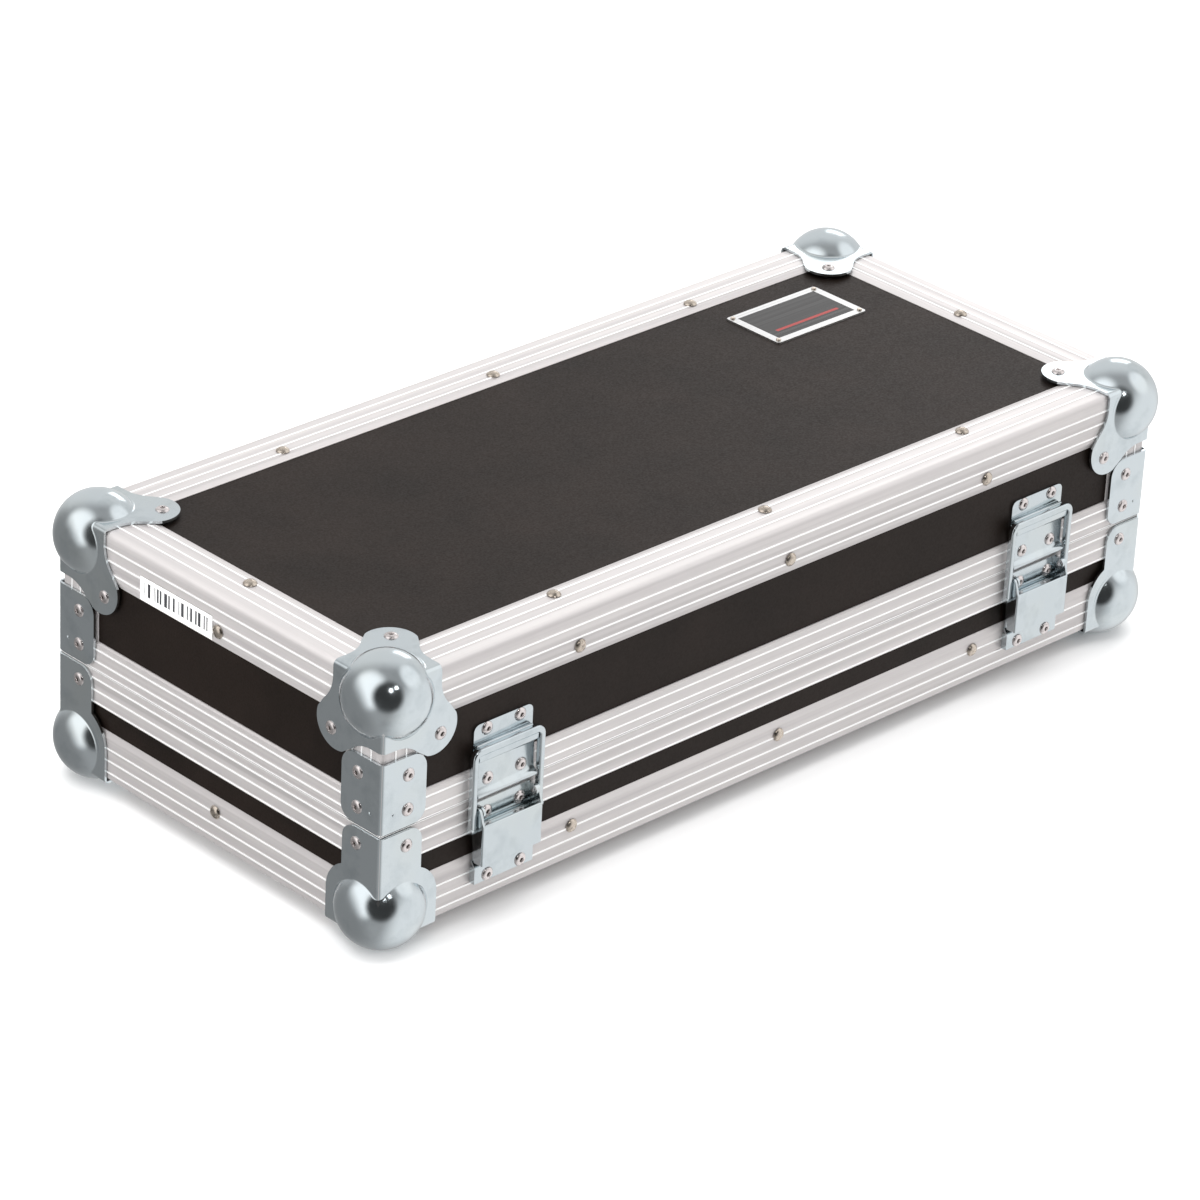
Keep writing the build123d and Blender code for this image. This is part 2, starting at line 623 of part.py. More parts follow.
def make_latch(side, centre):
    """One draw latch: base, pins and lever on the case's base, loop on the lever, strike on the lid."""
    ear_middle = latch_base_width / 2 - ear_thickness / 2
    with BuildPart() as base:
        pad_back = latch_pad_rise - latch_plate
        ramp_top = latch_pad_high + latch_pad_ramp
        bend([(0, latch_base_top), (0, ramp_top), (latch_plate, ramp_top),
              (latch_plate, latch_base_top)], latch_base_width, centre)
        bend([(0, ramp_top), (pad_back, latch_pad_high), (pad_back, latch_pad_low),
              (latch_pad_rise, latch_pad_low), (latch_pad_rise, latch_pad_high),
              (latch_plate, ramp_top)], latch_pad_width, centre)
        for sign in (-1, 1):
            wall_at = sign * (latch_pad_width - latch_plate) / 2
            bend([(0, latch_pad_low), (latch_pad_rise, latch_pad_low), (latch_pad_rise, latch_pad_high),
                  (0, latch_pad_high)], latch_plate, centre, wall_at)
            with BuildSketch(latch_plane(centre, sign * ear_middle)) as ear:
                with Locations((pivot_out, pivot_up)):
                    Circle(ear_radius)
                with Locations((0, pivot_up)):
                    Rectangle(pivot_out, 2 * ear_radius, align=(Align.MIN, Align.CENTER))
            extrude(ear.sketch, amount=ear_thickness / 2, both=True)
        with BuildSketch(latch_plane(centre)) as bore:
            with Locations((pivot_out, pivot_up)):
                Circle(pivot_radius)
        extrude(bore.sketch, amount=latch_pad_width, both=True, mode=Mode.SUBTRACT)
        drill([rivet for rivet in base_rivets if abs(rivet[1] - centre) < latch_base_width], "front")
    save(base.part, f"latch_base_{side}")

    with BuildPart() as lever:
        bend([(lever_front - lever_sheet, lever_low), (lever_front, lever_low),
              (lever_front, lever_top - lever_sheet / 2), (lever_front - lever_sheet / 2, lever_top),
              (lever_top_inner, lever_top), (lever_top_inner, lever_top - lever_sheet),
              (lever_front - lever_sheet, lever_top - lever_sheet)], 2 * arm_outer, centre)
        for sign in (-1, 1):
            with BuildSketch(latch_plane(centre, sign * (arm_inner + arm_outer) / 2)) as arm:
                with BuildLine():
                    CenterArc((pivot_out, pivot_up), arm_eye, 0, 360)
                    CenterArc((bar_out, bar_up), bar_radius + running_gap + bar_eye_wall, 0, 360)
                    Polyline((lever_flange_back, lever_low), (lever_front, lever_low),
                             (lever_front, lever_top - lever_sheet / 2))
                make_hull()
            extrude(arm.sketch, amount=arm_thickness / 2, both=True)
        with BuildSketch(latch_plane(centre)) as bores:
            with Locations((pivot_out, pivot_up)):
                Circle(pivot_radius + running_gap)
            with Locations((bar_out, bar_up)):
                Circle(bar_radius + running_gap)
        extrude(bores.sketch, amount=latch_pad_width, both=True, mode=Mode.SUBTRACT)
        front_edges = lever.edges().filter_by(Axis.Z).group_by(Axis.Y)[0]
        fillet(front_edges, lever_round)
    save(lever.part, f"latch_lever_{side}")

    with BuildPart() as loop:
        height = bar_bottom + loop_depth - bar_up
        frame = Plane(origin=(centre, -half_width - bar_back, seam + bar_up), x_dir=(1, 0, 0),
                      z_dir=(0, -1, 0))
        with BuildSketch(frame) as outline:
            Rectangle(2 * loop_outer, height, align=(Align.CENTER, Align.MIN))
            fillet(outline.vertices().group_by(Axis.Y)[-1], loop_corner)
            with BuildSketch(mode=Mode.SUBTRACT) as window:
                Rectangle(2 * loop_inner, height - loop_depth, align=(Align.CENTER, Align.MIN))
                fillet(window.vertices().group_by(Axis.Y)[-1], loop_window_corner)
        extrude(amount=loop_depth)
        fillet(loop.edges().group_by(Axis.Y)[0], loop_edge_round)
        fillet(loop.edges().group_by(Axis.Y)[-1], loop_edge_round)
        for sign in (-1, 1):
            with BuildSketch(latch_plane(centre, sign * (loop_inner + loop_outer) / 2)) as eye:
                with Locations((bar_out, bar_up)):
                    Circle(loop_depth / 2)
            extrude(eye.sketch, amount=loop_limb / 2, both=True)
        with BuildSketch(latch_plane(centre)) as bar:
            with Locations((bar_out, bar_up)):
                Circle(bar_radius)
        extrude(bar.sketch, amount=loop_inner + loop_limb / 2, both=True)
    save(loop.part, f"latch_loop_{side}")

    with BuildPart() as strike:
        back = -wall
        face = back + latch_plate
        bend([(0, ridge_low), (0, strike_lip_top), (strike_lip - latch_plate, strike_low),
              (strike_lip, strike_low), (latch_plate, strike_lip_top),
              (latch_plate, ridge_low), (ridge_out, ridge_front_low), (ridge_out, ridge_shelf),
              (face, ridge_shelf), (face, flange_top), (back, flange_top),
              (back, ridge_shelf - latch_plate), (ridge_out - latch_plate, ridge_shelf - latch_plate),
              (ridge_out - latch_plate, ridge_front_low + latch_plate / 2)], strike_width, centre)
        corners = strike.edges().filter_by(Axis.Y).group_by(Axis.Z)[-1].sort_by(Axis.X)
        fillet(corners[0], flange_round_left)
        fillet(corners[-1], flange_round_right)
        drill([rivet for rivet in lid_rivets if abs(rivet[1] - centre) < strike_width], "front")
    save(strike.part, f"latch_strike_{side}")


make_latch("left", latch_left)
make_latch("right", latch_right)

# Short pins that carry the levers in the ears of the latch bases
pin_inner = latch_base_width / 2 - ear_thickness - arm_gap
pin_outer = arm_outer + arm_gap
with BuildPart() as latch_pivot_pins:
    for centre in (latch_left, latch_right):
        for sign in (-1, 1):
            with BuildSketch(latch_plane(centre, sign * (pin_inner + pin_outer) / 2)):
                with Locations((pivot_out, pivot_up)):
                    Circle(pivot_radius)
            extrude(amount=(pin_outer - pin_inner) / 2, both=True)
save(latch_pivot_pins.part, "latch_pivot_pins")

# Two surface hinges on the back, with their axis outside the case at the seam
knuckle_length = hinge_width / knuckle_count


def hinge_plane(across):
    return Plane(origin=(across, half_width, seam), x_dir=(0, 1, 0), z_dir=(1, 0, 0))


def make_hinge_leaves(name, sign, first, rivets):
    """Leaves of both hinges on one body, with every second knuckle."""
    plate_start = knuckle_radius + knuckle_relief
    with BuildPart() as leaves:
        for centre in (-hinge_spread, hinge_spread):
            with BuildSketch(hinge_plane(centre)):
                with Locations((0, sign * (plate_start + hinge_leaf) / 2)):
                    Rectangle(hinge_plate, hinge_leaf - plate_start, align=(Align.MIN, Align.CENTER))
            extrude(amount=hinge_width / 2, both=True)
            for i in range(first, knuckle_count, 2):
                across = centre - hinge_width / 2 + (i + 0.5) * knuckle_length
                with BuildSketch(hinge_plane(across)):
                    with Locations((knuckle_out, 0)):
                        Circle(knuckle_radius)
                    with Locations((0, sign * (plate_start + hinge_edge_gap) / 2)):
                        Rectangle(hinge_plate, plate_start - hinge_edge_gap,
                                  align=(Align.MIN, Align.CENTER))
                    with Locations((knuckle_out, 0)):
                        Circle(hinge_pin_radius + running_gap, mode=Mode.SUBTRACT)
                extrude(amount=(knuckle_length - knuckle_gap) / 2, both=True)
        drill(rivets, "back")
    save(leaves.part, name)


make_hinge_leaves("hinge_base_leaves", -1, 0, base_rivets)
make_hinge_leaves("hinge_lid_leaves", 1, 1, lid_rivets)
with BuildPart() as hinge_pins:
    for centre in (-hinge_spread, hinge_spread):
        with BuildSketch(hinge_plane(centre)):
            with Locations((knuckle_out, 0)):
                Circle(hinge_pin_radius)
        extrude(amount=hinge_width / 2, both=True)
        for sign in (-1, 1):
            with BuildSketch(hinge_plane(centre + sign * (hinge_width + hinge_pin_head_length) / 2)):
                with Locations((knuckle_out, 0)):
                    Circle(hinge_pin_head)
            extrude(amount=hinge_pin_head_length / 2, both=True)
save(hinge_pins.part, "hinge_pins")


def box_between(low, high):
    """Block between two corners."""
    size = [b - a for a, b in zip(low, high)]
    with Locations(tuple((a + b) / 2 for a, b in zip(low, high))):
        Box(*size)


# Foam lining: a pad on the floor and ceiling, and four strips round the walls
foam_x = half_length - rail_thickness - foam_gap
foam_y = half_width - rail_thickness - foam_gap
for prefix, flat, rim in (("base", base_floor, seam - foam_below_seam),
                          ("lid", lid_ceiling, seam + foam_below_seam)):
    toward = 1 if rim > flat else -1
    pad_top = flat + toward * floor_foam
    with BuildPart() as pad:
        box_between((-foam_x, -foam_y, min(flat, pad_top)), (foam_x, foam_y, max(flat, pad_top)))
    save(pad.part, f"{prefix}_foam_pad")
    low, high = min(pad_top, rim), max(pad_top, rim)
    with BuildPart() as strips:
        for sign in (-1, 1):
            near, far = sorted((sign * (foam_y - wall_foam), sign * foam_y))
            box_between((-foam_x, near, low), (foam_x, far, high))
            near, far = sorted((sign * (foam_x - wall_foam), sign * foam_x))
            inner = foam_y - wall_foam - foam_gap
            box_between((near, -inner, low), (far, inner, high))
    save(strips.part, f"{prefix}_foam_strips")

# Name plate on the top panel, held by four small rivets
plate_seat = lid_top - wall
name_plane = Plane(origin=(half_length - name_plate_right_inset, half_width - name_plate_back_inset,
                           plate_seat))
name_grid = GridLocations(name_plate_size[0] - 2 * name_rivet_inset,
                          name_plate_size[1] - 2 * name_rivet_inset, 2, 2)
with BuildPart() as name_plate:
    with BuildSketch(name_plane):
        RectangleRounded(*name_plate_size, name_plate_round)
    extrude(amount=name_plate_thickness)
save(name_plate.part, "name_plate")
with BuildPart() as name_plate_rivets:
    with BuildSketch(name_plane.offset(name_plate_thickness)):
        with name_grid:
            Circle(name_rivet_radius)
    extrude(amount=name_rivet_head)
    fillet(name_plate_rivets.faces().group_by(Axis.Z)[-1].edges(), name_rivet_head / 2)
save(name_plate_rivets.part, "name_plate_rivets")

# Blank label stuck on the top leg of the left side
with BuildPart() as side_label:
    with BuildSketch(faces["left"]):
        with Locations((label_back_inset - half_width, lid_top - label_below_top)):
            Rectangle(*label_size)
    extrude(amount=label_thickness)
save(side_label.part, "side_label")
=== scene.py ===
from math import pi, radians

import bmesh
import bpy
from mathutils import Matrix, Vector


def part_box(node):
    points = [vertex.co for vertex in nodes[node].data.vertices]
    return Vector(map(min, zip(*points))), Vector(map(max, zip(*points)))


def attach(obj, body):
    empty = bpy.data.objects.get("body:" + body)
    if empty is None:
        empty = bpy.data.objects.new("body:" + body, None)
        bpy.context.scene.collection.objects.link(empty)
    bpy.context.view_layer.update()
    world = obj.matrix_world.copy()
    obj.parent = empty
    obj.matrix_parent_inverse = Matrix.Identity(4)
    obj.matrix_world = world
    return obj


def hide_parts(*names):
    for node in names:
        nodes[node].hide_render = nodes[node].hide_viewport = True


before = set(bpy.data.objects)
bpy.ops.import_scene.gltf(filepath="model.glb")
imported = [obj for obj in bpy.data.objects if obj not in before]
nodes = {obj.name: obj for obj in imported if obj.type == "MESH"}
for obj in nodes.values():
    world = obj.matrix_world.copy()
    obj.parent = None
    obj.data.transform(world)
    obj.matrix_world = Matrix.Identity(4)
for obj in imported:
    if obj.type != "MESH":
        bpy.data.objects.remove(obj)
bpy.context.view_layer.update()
scene = bpy.context.scene
bpy.ops.object.select_all(action="DESELECT")
scene.view_settings.view_transform = "Standard"
print("frame loaded:", len(nodes), "nodes")

# The case over its flat faces, in metres
case = {"halfLength": 0.300, "halfWidth": 0.1325, "bottom": 0.0103, "seam": 0.0763, "top": 0.1648}
sideNames = ("front", "back", "left", "right")
cornerNames = ("front_left", "front_right", "back_left", "back_right")
outwards = {"front": Vector((0, -1, 0)), "back": Vector((0, 1, 0)), "left": Vector((-1, 0, 0)),
            "right": Vector((1, 0, 0)), "top": Vector((0, 0, 1)), "bottom": Vector((0, 0, -1))}

# Camera, floor and lights
view = {"place": (-1.9234, -1.90035, 1.4783), "turn": (1.08787, -0.04631, -0.76351),
        "lens": 159.7, "sensor": 36.0, "reach": 60.0}
floorLook = {"size": 14.0, "colour": (0.93, 0.93, 0.93), "roughness": 0.55, "shine": 0.1}
lightsAim = (0, 0, 0.1)
lights = (  # name, place, size, size across, power, shows in the metal
    ("leftFill", (-2.8, 0.5, 0.35), 1.8, 1.4, 80.0, False),
    ("overhead", (0.1, 0.25, 2.4), 3.4, 2.8, 84.0, False),
    ("frontFill", (-1.6, -2.0, 2.2), 2.6, 2.0, 34.0, False),
    ("spotLeft", (-1.55, -2.35, 2.15), 0.34, 0.34, 3.2, True),
    ("spotRight", (-0.75, -2.55, 2.35), 0.30, 0.30, 2.6, True),
    ("rightCard", (2.25, 1.40, 1.32), 1.0, 0.9, 3.5, True),
)
studio = {
    "surround": 0.40,
    "cards": (  # what the metal mirrors: direction, where its soft edge starts and ends, grey
        ((0.65, -0.65, -0.40), (0.25, 0.85), 0.96),
        ((0.63, 0.63, 0.45), (0.35, 0.90), 0.80),
        ((-0.88, 0.10, 0.46), (0.60, 0.88), 1.30),
        ((0.63, -0.45, 0.63), (0.86, 0.96), 1.10),
        ((-0.63, 0.63, -0.45), (0.45, 0.90), 0.27),
        ((-0.56, -0.70, 0.36), (0.70, 0.88), 0.05),
    ),
}


def makeCamera():
    camera = bpy.data.cameras.new("photoCamera")
    camera.lens = view["lens"]
    camera.sensor_width = view["sensor"]
    camera.clip_end = view["reach"]
    seat = bpy.data.objects.new("photoCamera", camera)
    seat.location = view["place"]
    seat.rotation_euler = view["turn"]
    scene.collection.objects.link(seat)
    scene.camera = seat


def makeLight(name, place, size, across, power, mirrored):
    lamp = bpy.data.lights.new(name, "AREA")
    lamp.shape = "RECTANGLE"
    lamp.size, lamp.size_y = size, across
    lamp.energy = power
    seat = bpy.data.objects.new(name, lamp)
    seat.location = place
    toward = Vector(lightsAim) - Vector(place)
    seat.rotation_euler = toward.to_track_quat("-Z", "Y").to_euler()
    seat.visible_glossy = mirrored
    scene.collection.objects.link(seat)


def makeWorld():
    # Soft grey surround with pale and dark cards in fixed directions
    world = bpy.data.worlds.new("studio")
    world.use_nodes = True
    scene.world = world
    coords = addNode(world, "ShaderNodeTexCoord")
    grey = (studio["surround"],) * 3 + (1.0,)
    for direction, (edge, full), level in studio["cards"]:
        toward = Vector(direction).normalized()
        dot = addNode(world, "ShaderNodeVectorMath",
                      ((0, coords.outputs["Generated"]), (1, toward)), operation="DOT_PRODUCT")
        share = remap(world, dot.outputs["Value"], 0.0, 1.0, edge, full, "SMOOTHSTEP")
        grey = mixColours(world, share, grey, (level, level, level, 1.0))
    plug(world, grey, world.node_tree.nodes["Background"], "Color")


# Materials: each one is a small node tree on Object coordinates
everyWay = (1, 1, 1)


def newMaterial(name, colour, metallic, roughness):
    material = bpy.data.materials.new(name)
    material.use_nodes = True
    shader = material.node_tree.nodes["Principled BSDF"]
    shader.inputs["Base Color"].default_value = (*colour, 1.0)
    shader.inputs["Metallic"].default_value = metallic
    shader.inputs["Roughness"].default_value = roughness
    return material, shader


def addNode(material, kind, links=(), **settings):
    # Node with its settings and what feeds its sockets
    node = material.node_tree.nodes.new(kind)
    for key, value in settings.items():
        setattr(node, key, value)
    for socket, source in links:
        feed(material, source, node, socket)
    return node


def feed(material, source, node, socket):
    # A socket is linked, a number or colour is set
    if isinstance(source, bpy.types.NodeSocket):
        plug(material, source, node, socket)
    else:
        node.inputs[socket].default_value = source


def plug(material, source, node, socket):
    material.node_tree.links.new(source, node.inputs[socket])


def grain(material, stretch, size, detail=4.0, rough=0.55):
    # Noise over the object, stretched along each axis
    coords = addNode(material, "ShaderNodeTexCoord")
    mapping = addNode(material, "ShaderNodeMapping",
                      (("Vector", coords.outputs["Object"]), ("Scale", stretch)))
    noise = addNode(material, "ShaderNodeTexNoise",
                    (("Vector", mapping.outputs[0]), ("Scale", size),
                     ("Detail", detail), ("Roughness", rough)))
    return noise.outputs[0]


def coordinates(material):
    coords = addNode(material, "ShaderNodeTexCoord")
    split = addNode(material, "ShaderNodeSeparateXYZ", (("Vector", coords.outputs["Object"]),))
    return split.outputs


def reckon(material, operation, *values):
    # One step of arithmetic between sockets and numbers
    return addNode(material, "ShaderNodeMath", enumerate(values), operation=operation).outputs[0]


def both(material, first, second):
    return reckon(material, "MULTIPLY", first, second)


def within(material, source, middle, half):
    # 1 where a coordinate is within half of the middle, else 0
    return reckon(material, "COMPARE", source, middle, half)


def ramp(material, source, stops):
    node = addNode(material, "ShaderNodeValToRGB", (("Fac", source),))
    while len(node.color_ramp.elements) < len(stops):
        node.color_ramp.elements.new(0.5)
    for element, (place, colour) in zip(node.color_ramp.elements, stops):
        element.position = place
        element.color = (*colour, 1.0)
    return node.outputs[0]


def remap(material, source, low, high, fromLow=0.3, fromHigh=0.7, curve="LINEAR"):
    node = addNode(material, "ShaderNodeMapRange",
                   (("Value", source), ("From Min", fromLow), ("From Max", fromHigh),
                    ("To Min", low), ("To Max", high)), interpolation_type=curve)
    return node.outputs[0]


def mixColours(material, share, first, second):
    node = addNode(material, "ShaderNodeMix", ((0, share), (6, first), (7, second)),
                   data_type="RGBA")
    return node.outputs[2]


def bumpFrom(material, shader, source, strength, distance):
    bump = addNode(material, "ShaderNodeBump",
                   (("Height", source), ("Strength", strength), ("Distance", distance)))
    plug(material, bump.outputs[0], shader, "Normal")


def fromMiddle(material, x, y):
    # How far out a point is along X and Y, each with the half size of the case
    for source, half in ((x, case["halfLength"]), (y, case["halfWidth"])):
        yield reckon(material, "ABSOLUTE", source), half


# Extruded aluminium: fine drawing lines along it, broad streaks, faint handling marks, and a
# painted highlight on the outermost rib tops
aluminiumLook = {
    "dark": (0.49, 0.465, 0.465), "light": (0.62, 0.59, 0.585), "bright": (0.72, 0.69, 0.68),
    # the near white rib colour is a painted highlight on the outermost rib tops
    "smudge": (0.58, 0.555, 0.56), "rib": (1.0, 0.995, 0.99), "ribReach": 0.00016,
    "metal": 0.62, "roughness": 0.38, "smooth": 0.34, "rough": 0.50,
    "lines": (2.5, 900.0), "streaks": (1.2, 150.0), "marks": 14.0, "bump": (0.25, 0.00006),
}


def ribTops(material):
    # 1 on what reaches the outermost skin of the case, where a bright highlight is painted
    x, y, z = coordinates(material)
    reach = aluminiumLook["ribReach"]
    shares = [reckon(material, "GREATER_THAN", away, half - reach)
              for away, half in fromMiddle(material, x, y)]
    shares.append(reckon(material, "GREATER_THAN", z, case["top"] - reach))
    shares.append(reckon(material, "LESS_THAN", z, case["bottom"] + reach))
    most = shares[0]
    for share in shares[1:]:
        most = reckon(material, "MAXIMUM", most, share)
    return most


def extrudedAluminium(name, along, paintedShadeScale=1.0):
    look = aluminiumLook
    # A scale below 1 darkens the whole finish: painted shade for pieces that get less light
    dark, light, bright, smudge = (tuple(c * paintedShadeScale for c in look[key])
                                   for key in ("dark", "light", "bright", "smudge"))
    material, shader = newMaterial(name, light, look["metal"], look["roughness"])
    fine, broad = ([lengthwise if axis == along else across for axis in "XYZ"]
                   for lengthwise, across in (look["lines"], look["streaks"]))
    lines = grain(material, fine, 1.0, 3.0)
    streaks = grain(material, broad, 1.0, 4.0)
    marks = grain(material, everyWay, look["marks"], 5.0, 0.7)
    drawn = ramp(material, streaks, ((0.30, dark), (0.52, light), (0.80, bright)))
    share = remap(material, marks, 0.0, 0.35, 0.45, 0.75)
    flat = mixColours(material, share, drawn, (*smudge, 1.0))
    # Painted highlight: the outermost rib tops and arrises turn near white
    colour = mixColours(material, ribTops(material), flat, (*look["rib"], 1.0))
    plug(material, colour, shader, "Base Color")
    plug(material, remap(material, lines, look["smooth"], look["rough"]), shader, "Roughness")
    bumpFrom(material, shader, lines, *look["bump"])
    return material


# Zinc plated pressings: bright, slightly blue, with soft waves, a faint bloom and a painted
# highlight along the upright outer arrises
zincLook = {
    "dark": (0.58, 0.64, 0.67), "light": (0.68, 0.74, 0.77), "warm": (0.72, 0.75, 0.70),
    # arris is the painted highlight colour along the upright outer arrises
    "arris": (0.97, 0.99, 1.0), "arrisOut": 0.0010, "arrisWide": 0.0007, "arrisHalf": 0.062,
    "roughness": 0.2, "smooth": 0.10, "rough": 0.22,
    "bloom": 55.0, "speckle": 700.0, "warmth": 22.0, "bump": (0.12, 0.00005),
}


def paintedArrisHighlight(material):
    # 1 along the upright outer arrises of the pressings, where a bright highlight is painted
    x, y, z = coordinates(material)
    shares = [within(material, away, half + zincLook["arrisOut"], zincLook["arrisWide"])
              for away, half in fromMiddle(material, x, y)]
    level = within(material, z, (case["top"] + case["bottom"]) / 2, zincLook["arrisHalf"])
    return both(material, both(material, *shares), level)


def zincPlate(name, tint=1.0):
    look = zincLook
    light = tuple(c * tint for c in look["light"])
    dark = tuple(c * tint for c in look["dark"])
    material, shader = newMaterial(name, light, 1.0, look["roughness"])
    bloom = grain(material, everyWay, look["bloom"], 4.0, 0.6)
    speckle = grain(material, everyWay, look["speckle"], 2.0)
    warm = grain(material, everyWay, look["warmth"], 2.0)
    plated = ramp(material, bloom, ((0.28, dark), (0.50, light), (0.85, light)))
    share = remap(material, warm, 0.0, 0.4, 0.5, 0.8)
    toned = mixColours(material, share, plated, (*look["warm"], 1.0))
    # Painted highlight: near white along the upright outer arrises
    colour = mixColours(material, paintedArrisHighlight(material), toned, (*look["arris"], 1.0))
    plug(material, colour, shader, "Base Color")
    plug(material, remap(material, bloom, look["smooth"], look["rough"]), shader, "Roughness")
    bumpFrom(material, shader, speckle, *look["bump"])
    return material


# Phenolic film on plywood: dark brown black with a fine pebble
laminateLook = {
    "deep": (0.0048, 0.0034, 0.0027), "brown": (0.0108, 0.0073, 0.0058),
    "tint": (1.0, 0.80, 0.72, 1.0), "shine": 0.20, "roughness": 0.44, "smooth": 0.38, "rough": 0.54,
    "cloud": 18.0, "pebble": 900.0, "bump": (0.35, 0.00008),
}


def laminateFilm(name):
    look = laminateLook
    material, shader = newMaterial(name, look["deep"], 0.0, look["roughness"])
    cloud = grain(material, everyWay, look["cloud"], 5.0, 0.65)
    pebble = grain(material, everyWay, look["pebble"], 2.0)
    colour = ramp(material, cloud, ((0.30, look["deep"]), (0.75, look["brown"])))
    plug(material, colour, shader, "Base Color")
    plug(material, remap(material, pebble, look["smooth"], look["rough"]), shader, "Roughness")
    shader.inputs["Specular IOR Level"].default_value = look["shine"]
    shader.inputs["Specular Tint"].default_value = look["tint"]
    bumpFrom(material, shader, pebble, *look["bump"])
    return material


# Nickel plated rivets, and the steel of the broken mandrels in the blind ones
rivetLook = {
    "solid": (0.66, 0.58, 0.50), "blind": (0.83, 0.77, 0.76), "worn": 0.55,
    "roughness": 0.24, "smooth": 0.18, "rough": 0.34, "scuff": 420.0, "bump": (0.15, 0.00008),
}
stubLook = {
    "steel": (0.16, 0.145, 0.13), "dark": (0.07, 0.06, 0.055), "light": (0.26, 0.24, 0.22),
    "roughness": 0.5, "scuff": 900.0, "bump": (0.4, 0.0001),
}


def nickel(name, light):
    look = rivetLook
    material, shader = newMaterial(name, light, 1.0, look["roughness"])
    scuff = grain(material, everyWay, look["scuff"], 3.0, 0.6)
    dark = tuple(c * look["worn"] for c in light)
    plug(material, ramp(material, scuff, ((0.30, dark), (0.48, light))), shader, "Base Color")
    plug(material, remap(material, scuff, look["smooth"], look["rough"]), shader, "Roughness")
    bumpFrom(material, shader, scuff, *look["bump"])
    return material


def steelStub(name):
    look = stubLook
    material, shader = newMaterial(name, look["steel"], 1.0, look["roughness"])
    scuff = grain(material, everyWay, look["scuff"], 3.0, 0.6)
    colour = ramp(material, scuff, ((0.35, look["dark"]), (0.65, look["light"])))
    plug(material, colour, shader, "Base Color")
    bumpFrom(material, shader, scuff, *look["bump"])
    return material


# Cut polyethylene foam
foamLook = {
    "deep": (0.010, 0.010, 0.011), "worn": (0.034, 0.034, 0.037), "pore": (0.006, 0.006, 0.007),
    "roughness": 0.92, "shine": 0.25, "sheen": 0.25, "sheenRoughness": 0.6,
    "cells": 1100.0, "patches": 35.0, "bump": (0.9, 0.0005),
}


def cutFoam(name):
    look = foamLook
    material, shader = newMaterial(name, look["worn"], 0.0, look["roughness"])
    shader.inputs["Specular IOR Level"].default_value = look["shine"]
    shader.inputs["Sheen Weight"].default_value = look["sheen"]
    shader.inputs["Sheen Roughness"].default_value = look["sheenRoughness"]
    cells = grain(material, everyWay, look["cells"], 2.0, 0.7)
    patches = grain(material, everyWay, look["patches"], 4.0)
    share = remap(material, patches, 0.2, 0.8)
    worn = mixColours(material, share, (*look["deep"], 1.0), (*look["worn"], 1.0))
    pores = remap(material, cells, 0.0, 0.6)
    plug(material, mixColours(material, pores, worn, (*look["pore"], 1.0)), shader, "Base Color")
    bumpFrom(material, shader, cells, *look["bump"])
    return material


# Name plate: satin aluminium with a bare printed field and a plain red rule
plateLook = {
    "metal": (0.78, 0.78, 0.78), "dark": (0.62, 0.62, 0.62), "light": (0.84, 0.84, 0.84),
    "ink": (0.012, 0.011, 0.011), "red": (0.24, 0.010, 0.008), "lines": (3.0, 900.0, 900.0),
    "roughness": 0.34, "smooth": 0.26, "rough": 0.44,
    "field": (0.0322, 0.0172),  # half sizes along X and Y
    "rule": (0.0260, -0.0090, 0.0012),  # half length, place from the middle, half thickness
}


def printedPlate(name, middle):
    look = plateLook
    material, shader = newMaterial(name, look["metal"], 1.0, look["roughness"])
    x, y, z = coordinates(material)
    lines = grain(material, look["lines"], 1.0, 3.0)
    satin = ramp(material, lines, ((0.3, look["dark"]), (0.6, look["light"])))
    fieldLength, fieldWidth = look["field"]
    ruleLength, rulePlace, ruleWidth = look["rule"]
    field = both(material, within(material, x, middle[0], fieldLength),
                 within(material, y, middle[1], fieldWidth))
    rule = both(material, within(material, x, middle[0], ruleLength),
                within(material, y, middle[1] + rulePlace, ruleWidth))
    printed = mixColours(material, field, satin, (*look["ink"], 1.0))
    plug(material, mixColours(material, rule, printed, (*look["red"], 1.0)), shader, "Base Color")
    plug(material, remap(material, field, 1.0, 0.0, 0.0, 1.0), shader, "Metallic")
    plug(material, remap(material, lines, look["smooth"], look["rough"]), shader, "Roughness")
    return material


# Paper label with plain uneven bars
labelLook = {
    "paper": (0.86, 0.86, 0.85), "shade": 0.95, "ink": (0.035, 0.035, 0.04), "roughness": 0.48,
    "bars": (0.0265, 0.0042),  # half sizes of the barred field along Y and Z
    "lift": 0.0005, "pitch": (0.0, 430.0, 0.0), "fibre": 500.0, "bump": (0.1, 0.0001),
}


def barredPaper(name, middle):
    look = labelLook
    material, shader = newMaterial(name, look["paper"], 0.0, look["roughness"])
    x, y, z = coordinates(material)
    bars = grain(material, look["pitch"], 1.0, 1.0)
    dark = reckon(material, "GREATER_THAN", bars, 0.5)
    length, height = look["bars"]
    area = both(material, within(material, y, middle[1], length),
                within(material, z, middle[2] + look["lift"], height))
    fibre = grain(material, everyWay, look["fibre"], 3.0)
    shaded = tuple(c * look["shade"] for c in look["paper"])
    paper = ramp(material, fibre, ((0.3, shaded), (0.7, look["paper"])))
    colour = mixColours(material, both(material, area, dark), paper, (*look["ink"], 1.0))
    plug(material, colour, shader, "Base Color")
    bumpFrom(material, shader, fibre, *look["bump"])
    return material


def middleOf(name):
    low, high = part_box(name)
    return (low + high) / 2


